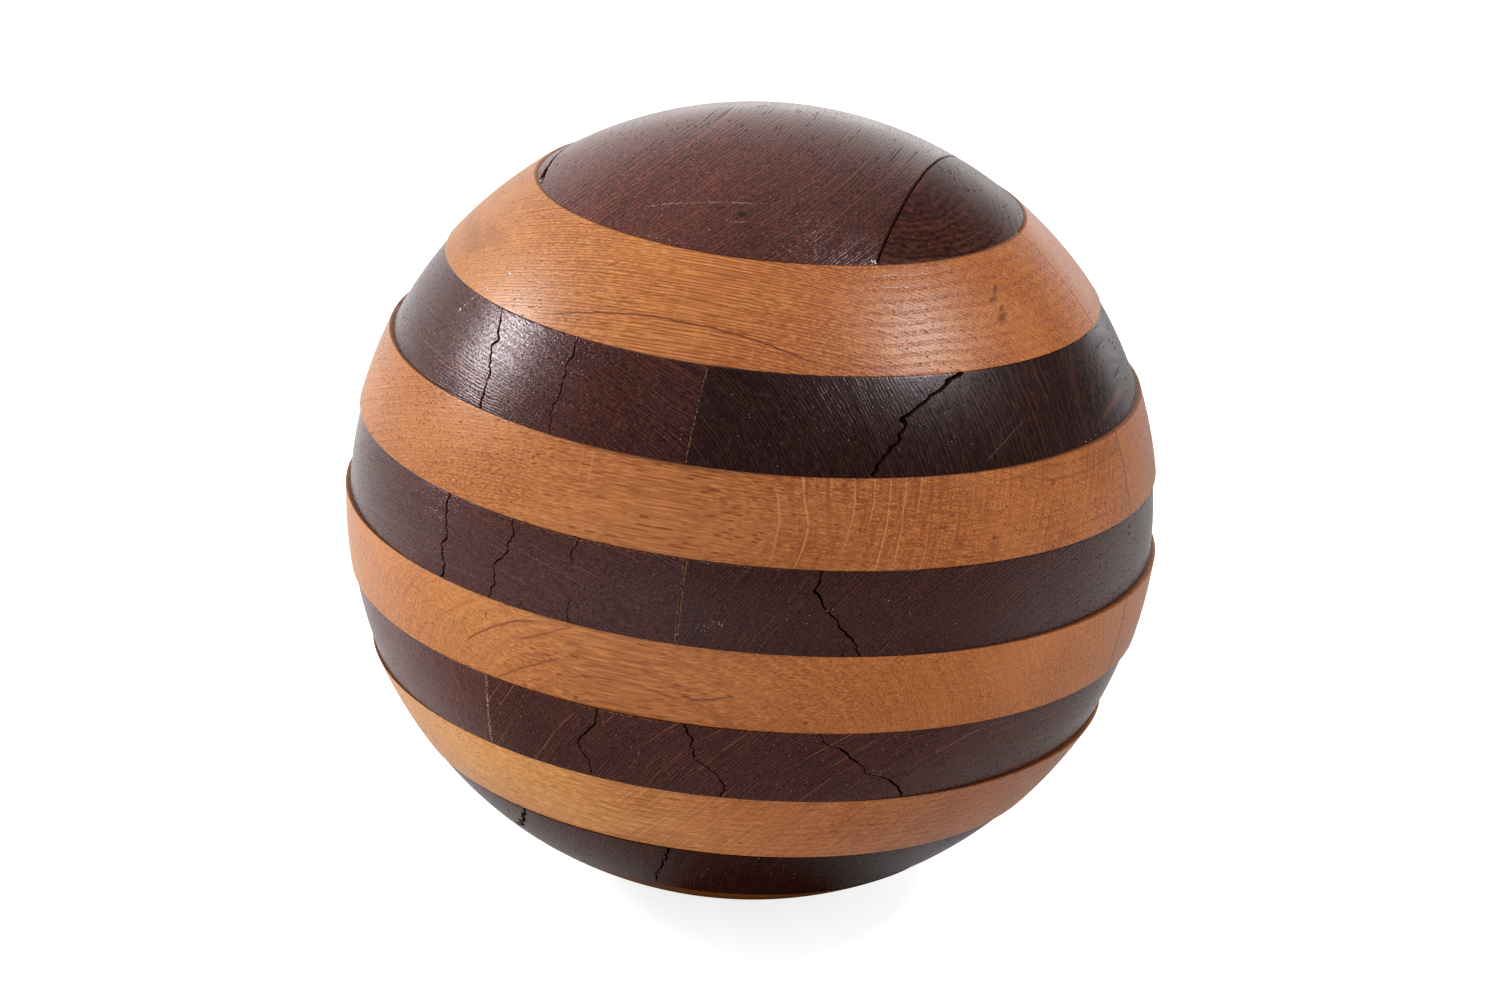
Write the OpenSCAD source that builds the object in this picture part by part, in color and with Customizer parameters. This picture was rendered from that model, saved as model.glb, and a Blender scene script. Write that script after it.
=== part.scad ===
// A solid ball turned from a block of ten glued layers of boards. Dark and
// light layers take turns from the cap down, and the grain of each layer
// crosses the grain of the next: it runs along Y in the dark layers and along
// X in the light ones. The boards have dried since the ball was turned. Each
// layer has shrunk across its own grain, so it stands a little back from its
// neighbours there, two joints of the cap have opened, and checks run into the
// front ends of the dark boards. The origin is the ball's centre.

/* [Ball] */
// Diameter of the ball as it was turned
ball_d = 200; // [150:1:300]
// Thickness of the cap at its pole
cap_t = 19.1; // [14:0.1:24]
// Thickness of the base board at its pole
base_t = 17.9; // [14:0.1:24]

/* [Drying] */
// Percent lost by every board in thickness
thickness_loss = 1.7; // [0:0.1:4]
// Percent lost by the dark layers across their grain, along X
dark_loss = 1; // [0:0.1:2.5]
// Percent lost by the light layers across their grain, along Y
light_loss = 0.5; // [0:0.1:2.5]
// Width of the two joints that have opened in the cap
open_joint_w = 0.6; // [0.2:0.1:1.5]
// Width of a full check at the surface
check_w = 0.8; // [0.2:0.05:1.2]
// Depth of the checks below the surface
check_depth = 8; // [2:0.5:20]

/* [Board widths] */
// Narrow board at the left edge of the cap
cap_left_w = 4; // [2.5:0.1:20]
// Middle board of the cap
cap_middle_w = 90.6; // [60:0.1:110]
// Narrow board at the right edge of layer 9
layer9_right_w = 12; // [4:0.1:60]

/* [Glue joints of the dark layers, along X from the axis] */
// Joint of layer 3
joint_3 = 7.5; // [-35:0.1:35]
// Joint of layer 5
joint_5 = 11.2; // [-35:0.1:35]
// Joint of layer 7
joint_7 = -35.6; // [-45:0.1:-20]

/* [Glue joints of the light layers, along Y from the axis] */
// Joint of layer 2
joint_2 = -0.8; // [-40:0.1:40]
// Joint of layer 4
joint_4 = -15.8; // [-50:0.1:50]
// Joint of layer 6
joint_6 = -18; // [-60:0.1:60]
// Joint of layer 8
joint_8 = 8; // [-50:0.1:50]

/* [Hidden] */

layers = 10;
ball_r = ball_d / 2;
pole_z = ball_r * (1 - thickness_loss / 100);
// The layers between the cap and the base share the height that is left
layer_t = (2 * pole_z - cap_t - base_t) / (layers - 2);
// More than the ball reaches from any plane that cuts it
reach = ball_d;
// Facets round the ball, enough for the thinnest board
ball_facets = 360;

dark = "#4b332c";
light = "#bd7d4a";

// Height of the glue line under a layer, counted from the cap, layer 1
function floor_z(layer) = pole_z - cap_t - (layer - 1) * layer_t;

// Half the width of the dark layers at a height
function dark_half_w(z) =
    ball_r * (1 - dark_loss / 100) * sqrt(1 - pow(z / pole_z, 2));

cap_left_joint = -dark_half_w(floor_z(1)) + cap_left_w;
cap_right_joint = cap_left_joint + cap_middle_w;
joint_9 = dark_half_w(floor_z(8)) - layer9_right_w;

// The checks, each a list of [x, height, width] down its line on the ball's
// front. Height is a share of the layer's thickness, from 0 at its bottom to 1
// at its top, and width is a share of check_w. A line that passes 0 or 1 runs
// into the glue line, and one that stops short of it closes at its end.
checks_3_left = [
    [[-46.8, 1.1, 1], [-45.8, 0.75, 1.3], [-46.4, 0.5, 1.1], [-45.6, 0.4, 1],
        [-46.2, -0.1, 1]],
    [[-24.2, 1.1, 0.5], [-25.8, 0.65, 0.6], [-25.5, 0.43, 0.5],
        [-26.4, 0.25, 0.4], [-26.2, -0.1, 0.3]],
    [[-26.3, 0.27, 0.3], [-28.2, 0.12, 0.1]]
];
checks_3_right = [
    [[60.8, 1.1, 1.3], [55.2, 0.75, 1.2], [50.8, 0.6, 0.9], [51.7, 0.48, 0.6],
        [49.3, 0.25, 0.5], [46, -0.1, 0.3]]
];
checks_5_left = [
    [[-50.3, 1.1, 0.8], [-50.5, 0.83, 0.7], [-49.5, 0.5, 0.7],
        [-50.5, 0.37, 0.5], [-49.4, 0.2, 0.8], [-50, -0.1, 0.8]],
    [[-31.6, 1.1, 0.5], [-31, 0.79, 0.6], [-32, 0.62, 0.5], [-35, 0.4, 0.4],
        [-34.8, 0.24, 0.6], [-35.5, -0.1, 0.5]],
    [[-35.4, 0.62, 0.1], [-34.7, 0.42, 0.5]],
    [[-14, 1.1, 0.4], [-15.6, 0.77, 0.4], [-14.7, 0.6, 0.1]],
    [[-14, 0.36, 0.1], [-14.8, 0.14, 0.4], [-15, -0.1, 0.3]],
    [[-26.7, 0.36, 0.1], [-27.7, -0.1, 0.3]]
];
checks_5_right = [
    [[41, 1.1, 0.5], [40.3, 0.77, 0.7], [43.2, 0.55, 0.5], [48.3, 0.22, 0.6],
        [52.8, -0.1, 0.3]],
    [[48.6, 0.23, 0.2], [45.4, -0.1, 0.4]]
];
checks_7_right = [
    [[-6.6, 1.1, 0.4], [-7.4, 0.79, 0.5], [-11.2, 0.49, 0.5],
        [-10.6, 0.37, 0.7], [-8.8, 0.24, 0.4], [-9.3, -0.1, 0.6]],
    [[13.4, 1.1, 0.5], [16.2, 0.8, 0.6], [16.1, 0.55, 0.5], [21.5, 0.35, 0.5],
        [23.5, 0.2, 0.6], [22.1, -0.1, 0.4]],
    [[23.1, 0.13, 0.4], [26.5, -0.1, 0.2]],
    [[42.6, 1.1, 0.4], [45.1, 0.84, 0.4], [47.8, 0.8, 0.7], [53.4, 0.44, 0.4],
        [57.9, 0.3, 0.7], [60.7, -0.1, 0.7]],
    [[49, 0.95, 0.3], [48.1, 0.78, 0.4]]
];
checks_9_left = [
    [[-28.6, 1.1, 0.8], [-31.4, 0.74, 1.3], [-34.4, 0.5, 1.6], [-38, 0.25, 1.2],
        [-40, -0.1, 0.8]],
    [[8.9, 1.1, 0.7], [6.4, 0.75, 0.6], [2.2, 0.3, 0.7], [0.6, 0.02, 0.2]]
];

// The ball's form, less what it has lost along X and Y, and less an even skin
module ball_form(loss_x, loss_y, skin = 0) {
    scale([1 - loss_x / 100, 1 - loss_y / 100, 1 - thickness_loss / 100])
        sphere(r = ball_r - skin, $fn = ball_facets);
}

// All that lies on one side of a plane through a point
module beyond(point, side) {
    translate(point)
        translate(side * reach)
            cube(2 * reach, center = true);
}

module left_of(x) beyond([x, 0, 0], [-1, 0, 0]);
module right_of(x) beyond([x, 0, 0], [1, 0, 0]);
module front_of(y) beyond([0, y, 0], [0, -1, 0]);
module behind(y) beyond([0, y, 0], [0, 1, 0]);

// One layer of the ball, between its glue lines
module layer_form(layer, loss_x, loss_y) {
    intersection() {
        ball_form(loss_x, loss_y);
        if (layer > 1)
            beyond([0, 0, floor_z(layer - 1)], [0, 0, -1]);
        if (layer < layers)
            beyond([0, 0, floor_z(layer)], [0, 0, 1]);
    }
}

// One check: its line, widened, runs back along the grain from the front, and
// stops where the wood lies deeper than check_depth
module check(layer, line) {
    function edge(side, points) = [
        for (p = points)
            [p[0] + side * p[2] * check_w / 2, floor_z(layer) + p[1] * layer_t]
    ];
    upward = [for (i = [len(line) - 1:-1:0]) line[i]];
    difference() {
        rotate([90, 0, 0])
            linear_extrude(reach)
                polygon(concat(edge(-1, line), edge(1, upward)));
        ball_form(dark_loss, 0, check_depth);
    }
}

// A board of a dark layer: the children cut it to width, and the checks are
// in its front end
module dark_board(layer, checks = []) {
    color(dark)
        difference() {
            intersection() {
                layer_form(layer, dark_loss, 0);
                intersection_for (i = [0:$children - 1])
                    children(i);
            }
            for (line = checks)
                check(layer, line);
        }
}

// A board of a light layer, which the child cuts to width
module light_board(layer) {
    color(light)
        intersection() {
            layer_form(layer, 0, light_loss);
            children();
        }
}

module cap_board_left() {
    dark_board(1)
        left_of(cap_left_joint - open_joint_w / 2);
}

module cap_board_middle() {
    dark_board(1) {
        right_of(cap_left_joint + open_joint_w / 2);
        left_of(cap_right_joint - open_joint_w / 2);
    }
}

module cap_board_right() {
    dark_board(1)
        right_of(cap_right_joint + open_joint_w / 2);
}

module layer2_board_front() light_board(2) front_of(joint_2);
module layer2_board_back() light_board(2) behind(joint_2);
module layer3_board_left() dark_board(3, checks_3_left) left_of(joint_3);
module layer3_board_right() dark_board(3, checks_3_right) right_of(joint_3);
module layer4_board_front() light_board(4) front_of(joint_4);
module layer4_board_back() light_board(4) behind(joint_4);
module layer5_board_left() dark_board(5, checks_5_left) left_of(joint_5);
module layer5_board_right() dark_board(5, checks_5_right) right_of(joint_5);
module layer6_board_front() light_board(6) front_of(joint_6);
module layer6_board_back() light_board(6) behind(joint_6);
module layer7_board_left() dark_board(7) left_of(joint_7);
module layer7_board_right() dark_board(7, checks_7_right) right_of(joint_7);
module layer8_board_front() light_board(8) front_of(joint_8);
module layer8_board_back() light_board(8) behind(joint_8);
module layer9_board_left() dark_board(9, checks_9_left) left_of(joint_9);
module layer9_board_right() dark_board(9) right_of(joint_9);
module base_board() light_board(10) front_of(reach);

cap_board_left();
cap_board_middle();
cap_board_right();
layer2_board_front();
layer2_board_back();
layer3_board_left();
layer3_board_right();
layer4_board_front();
layer4_board_back();
layer5_board_left();
layer5_board_right();
layer6_board_front();
layer6_board_back();
layer7_board_left();
layer7_board_right();
layer8_board_front();
layer8_board_back();
layer9_board_left();
layer9_board_right();
base_board();
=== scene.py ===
"""The looks of the laminated wooden ball: its boards, with their checks and eased edges,
in solid patterns of the two woods, the glue and dust on them, and a plain studio.
X runs along the light wood's grain and Y along the dark wood's, and the front is at -Y.
Lengths on the ball are in millimetres until a mesh is made, and the studio's in metres."""

import math
from dataclasses import dataclass
from functools import partialmethod

import bmesh
import bpy
import numpy as np
from mathutils import Matrix, Vector


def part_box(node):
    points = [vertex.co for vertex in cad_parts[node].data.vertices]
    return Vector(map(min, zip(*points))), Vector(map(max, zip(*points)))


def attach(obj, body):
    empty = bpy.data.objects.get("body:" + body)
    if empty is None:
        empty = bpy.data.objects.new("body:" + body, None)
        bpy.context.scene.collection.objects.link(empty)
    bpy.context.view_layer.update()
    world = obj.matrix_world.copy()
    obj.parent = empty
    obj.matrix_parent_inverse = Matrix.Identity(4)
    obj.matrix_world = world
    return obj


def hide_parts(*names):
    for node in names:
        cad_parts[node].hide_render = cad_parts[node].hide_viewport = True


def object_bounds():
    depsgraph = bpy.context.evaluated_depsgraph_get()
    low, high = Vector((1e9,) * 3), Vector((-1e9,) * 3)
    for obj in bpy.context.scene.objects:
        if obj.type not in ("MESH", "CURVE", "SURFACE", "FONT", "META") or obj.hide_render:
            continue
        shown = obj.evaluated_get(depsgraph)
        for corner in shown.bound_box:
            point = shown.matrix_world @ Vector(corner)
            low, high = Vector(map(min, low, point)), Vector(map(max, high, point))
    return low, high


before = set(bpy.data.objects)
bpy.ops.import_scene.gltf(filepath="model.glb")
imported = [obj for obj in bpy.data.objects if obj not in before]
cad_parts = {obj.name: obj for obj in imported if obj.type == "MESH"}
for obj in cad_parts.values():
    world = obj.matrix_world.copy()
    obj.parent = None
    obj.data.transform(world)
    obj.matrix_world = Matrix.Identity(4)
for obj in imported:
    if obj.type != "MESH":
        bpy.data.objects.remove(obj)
cad_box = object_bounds()
scene = bpy.context.scene

MM = 0.001


def box_mm(node):
    """A CAD node's lowest and highest corner in millimetres."""
    low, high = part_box(node)
    return np.array(low) / MM, np.array(high) / MM


# The ball's form, as the part's source has it: what it has lost along each axis
THICKNESS_LOSS, DARK_LOSS, LIGHT_LOSS = 0.017, 0.01, 0.005
POLE_Z = box_mm("cap_board_middle")[1][2]
BALL_R = POLE_Z / (1 - THICKNESS_LOSS)
# A full check's width at the surface, its depth, and the width from which it is so deep
CHECK_W, CHECK_DEPTH, DEEP_FROM = 0.8, 8.0, 0.2
# The least width of a check that shows, and the least distance between two
LEAST_CHECK, CHECK_CLEAR = 0.04, 0.03
# The two ends of a check's floor, as shares of its width
CHECK_FLOOR = (0.3, 0.7)
# The spacing and reach of a check's zigzags, one finer than the other
ZIGZAGS = ((1.8, 0.5), (0.9, 0.42))
# Points nearer than FINEST are merged. STEP and ROW_STEP are about how far apart the
# columns and rows of a board's skin are
FINEST, STEP, ROW_STEP = 0.001, 1.25, 0.36
# How far an edge is rounded: at the glue lines, at upright joints, at the cap's joints
EDGE_EASE, JOINT_EASE, CAP_EASE = 0.14, 0.1, 0.18
# How far a light board's upper edge stands proud at the ends of its grain, and how far
# down that fades
LIP, LIP_FADE = 0.35, 5.0
# How thick a lump of glue, dust or chipped wood is
CRUMB_THICK = 0.1


# ---------------- node building


def fill(node, inputs):
    """Links a node's inputs to Values, or sets them to plain numbers and colours."""
    for slot, value in inputs.items() if isinstance(inputs, dict) else enumerate(inputs):
        socket = node.inputs[slot]
        if isinstance(value, Value):
            socket.id_data.links.new(value.socket, socket)
        else:
            socket.default_value = value


def add_node(tree, kind, inputs=(), **settings):
    node = tree.nodes.new("ShaderNode" + kind)
    for name, value in settings.items():
        setattr(node, name, value)
    fill(node, inputs)
    return node


class Value:
    """A number, colour or place that varies over a surface. Arithmetic on it adds nodes."""

    def __init__(self, socket):
        self.socket = socket

    def math(self, operation, *others):
        inputs = self, *others
        return Value(add_node(self.socket.id_data, "Math", inputs, operation=operation).outputs[0])

    __add__ = partialmethod(math, "ADD")
    __sub__ = partialmethod(math, "SUBTRACT")
    __mul__ = partialmethod(math, "MULTIPLY")
    __truediv__ = partialmethod(math, "DIVIDE")
    __pow__ = partialmethod(math, "POWER")
    magnitude = partialmethod(math, "ABSOLUTE")
    fraction = partialmethod(math, "FRACT")
    most = partialmethod(math, "MAXIMUM")
    # up.angle(across) is the angle of the place (across, up)
    angle = partialmethod(math, "ARCTAN2")

    def inverse(self):
        """1 less this value."""
        return (self * -1) + 1

    def rise(self, low, high):
        """A smooth step from 0 at low to 1 at high, which may be the lower of the two."""
        ends = (high, low, 1, 0) if low > high else (low, high, 0, 1)
        node = add_node(self.socket.id_data, "MapRange", (self, *ends))
        node.interpolation_type = "SMOOTHSTEP"
        return Value(node.outputs[0])

    def axes(self):
        """The x, y and z of a place."""
        parts = add_node(self.socket.id_data, "SeparateXYZ", (self,))
        return [Value(part) for part in parts.outputs]


def hypotenuse(across, up):
    return (across * across + up * up) ** 0.5


class Shader:
    """A material in the making, with its place in the part in millimetres."""

    def __init__(self, name):
        self.material = bpy.data.materials.new(name)
        self.material.use_nodes = True
        self.tree = self.material.node_tree
        place = Value(add_node(self.tree, "TexCoord").outputs["Object"])
        self.x, self.y, self.z = (axis / MM for axis in place.axes())

    def vector(self, x, y, z):
        return Value(add_node(self.tree, "CombineXYZ", (x, y, z)).outputs[0])

    def noise(self, x, y, z=0.0, detail=1.0):
        """Smooth noise round 0.5, with features about one unit across."""
        inputs = {"Vector": self.vector(x, y, z), "Scale": 1.0, "Detail": detail}
        return Value(add_node(self.tree, "TexNoise", inputs).outputs[0])

    def dots(self, x, y, z=None):
        """The distance to the nearest of scattered points a unit apart, and a random
        number from 0 to 1 that goes with each point."""
        inputs = {"Vector": self.vector(x, y, z or 0.0), "Scale": 1.0}
        dimensions = "3D" if z else "2D"
        node = add_node(self.tree, "TexVoronoi", inputs, voronoi_dimensions=dimensions)
        parts = add_node(self.tree, "SeparateColor", (Value(node.outputs["Color"]),))
        return Value(node.outputs["Distance"]), Value(parts.outputs[0])

    def mix(self, factor, first, second):
        """The first colour where factor is 0, the second where it is 1."""
        # The node's inputs 6 and 7 and its output 2 are those for colours
        inputs = {0: factor, 6: first, 7: second}
        return Value(add_node(self.tree, "Mix", inputs, data_type="RGBA").outputs[2])

    def coats(self, colour, *coats):
        """A colour with coats laid over it in turn, each (how far it covers, colour)."""
        for cover, coat in coats:
            colour = self.mix(cover, colour, coat)
        return colour

    def finish(self, colour, roughness, height, specular, tint=(1.0, 1.0, 1.0)):
        """height is how far the surface stands out, in millimetres, and tint is the
        colour of what it reflects."""
        bump = add_node(self.tree, "Bump", {"Distance": MM, "Height": height})
        inputs = {
            "Normal": Value(bump.outputs[0]), "Base Color": colour, "Roughness": roughness,
            "Specular IOR Level": specular, "Specular Tint": (*tint, 1.0),
        }
        fill(self.tree.nodes["Principled BSDF"], inputs)
        return self.material


def shade_of(colour, brightness=1):
    return tuple(c * brightness for c in colour) + (1.0,)


# ---------------- marks in the wood


@dataclass
class Line:
    """A fine line across a face, bowed like a growth ring. Places are (u, v) on the face:
    x and z on the front, x and y on the top. An upright line runs mostly along v. reach
    is where it starts and ends, from its middle."""

    at: tuple
    reach: tuple
    slope: float
    bow: float
    width: float
    colour: tuple
    strength: float = 1.0
    upright: bool = False
    wobble: float = 0.3

    def mask(self, shader, u, v):
        middle_u, middle_v = self.at
        if self.upright:
            u, v, middle_u, middle_v = v, u, middle_v, middle_u
        along = u - middle_u
        stray = (shader.noise(u / 2.5, v / 9, self.width * 50) - 0.5) * self.wobble * 2
        off = (v - middle_v - along * self.slope - along * along * self.bow + stray).magnitude()
        start, end = self.reach
        fade = (end - start) * 0.12
        ends = along.rise(start, start + fade) * along.rise(end, end - fade)
        return off.rise(self.width * 0.75, self.width * 0.25) * ends * self.strength


@dataclass
class Spot:
    """A blot on a face, with a ragged outline. lean is how far it slants, as u per v."""

    at: tuple
    size: tuple
    colour: tuple
    strength: float = 1.0
    lean: float = 0.0
    soft: float = 0.35

    def mask(self, shader, u, v):
        u = u - self.at[0]
        v = v - self.at[1]
        far = hypotenuse((u - v * self.lean) / self.size[0], v / self.size[1])
        far = far + (shader.noise(u / 0.9, v / 0.9, self.at[0]) - 0.5) * 0.8
        return far.rise(1 + self.soft, 1 - self.soft) * self.strength


# Colours as the light of the surface they send back, in linear red, green and blue
BROWN, RUST, SOOT = (0.125, 0.03, 0.008), (0.24, 0.052, 0.016), (0.016, 0.008, 0.006)
# The last of these darkens a light board's glue joint, and is also the painted shade on its ledge
PALE, DUN, GRIME_AND_SHADE = (0.62, 0.38, 0.24), (0.2, 0.1, 0.045), (0.05, 0.018, 0.01)
REDDISH, CHALK, STRAW = (0.15, 0.05, 0.028), (0.55, 0.5, 0.46), (0.56, 0.23, 0.08)


# ---------------- the boards


@dataclass
class Board:
    """How a board was sawn, and how it looks. pith is its tree's centre: across the
    grain, and up. shade is brightness, gloss how strongly it reflects, bleach how
    strongly painted light brightens its left end, as if lit more from the left, and
    coarse how deep its relief is. tilt is how far its grain rises along it, and curl
    how far it curls. checks are lines of (x, height share, width share), much as in
    the part's source, from left to right. rays, pores, rows and figure are how
    strongly those show in light wood, and streaks and contrast how strongly streaks
    and rings do in dark wood. ray_lean is x per z of rays sawn through slantwise, and
    ray_reach is where along x they fade in."""

    layer: int
    pith: tuple
    shade: float = 1.0
    checks: tuple = ()
    marks: tuple = ()
    rays: float = 0.4
    pores: float = 0.4
    rows: float = 0.3
    figure: float = 0.5
    streaks: float = 0.4
    contrast: float = 0.06
    tilt: float = 0.0
    gloss: float = 0.46
    painted_light_left: float = 0.0
    curl: float = 0.0
    coarse: float = 1.0
    ray_lean: float | None = None
    ray_reach: tuple = (-200, 200)

    @property
    def dark(self):
        return self.layer % 2 == 1

    def colours(self, *colours):
        return [shade_of(colour, self.shade) for colour in colours]


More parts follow.
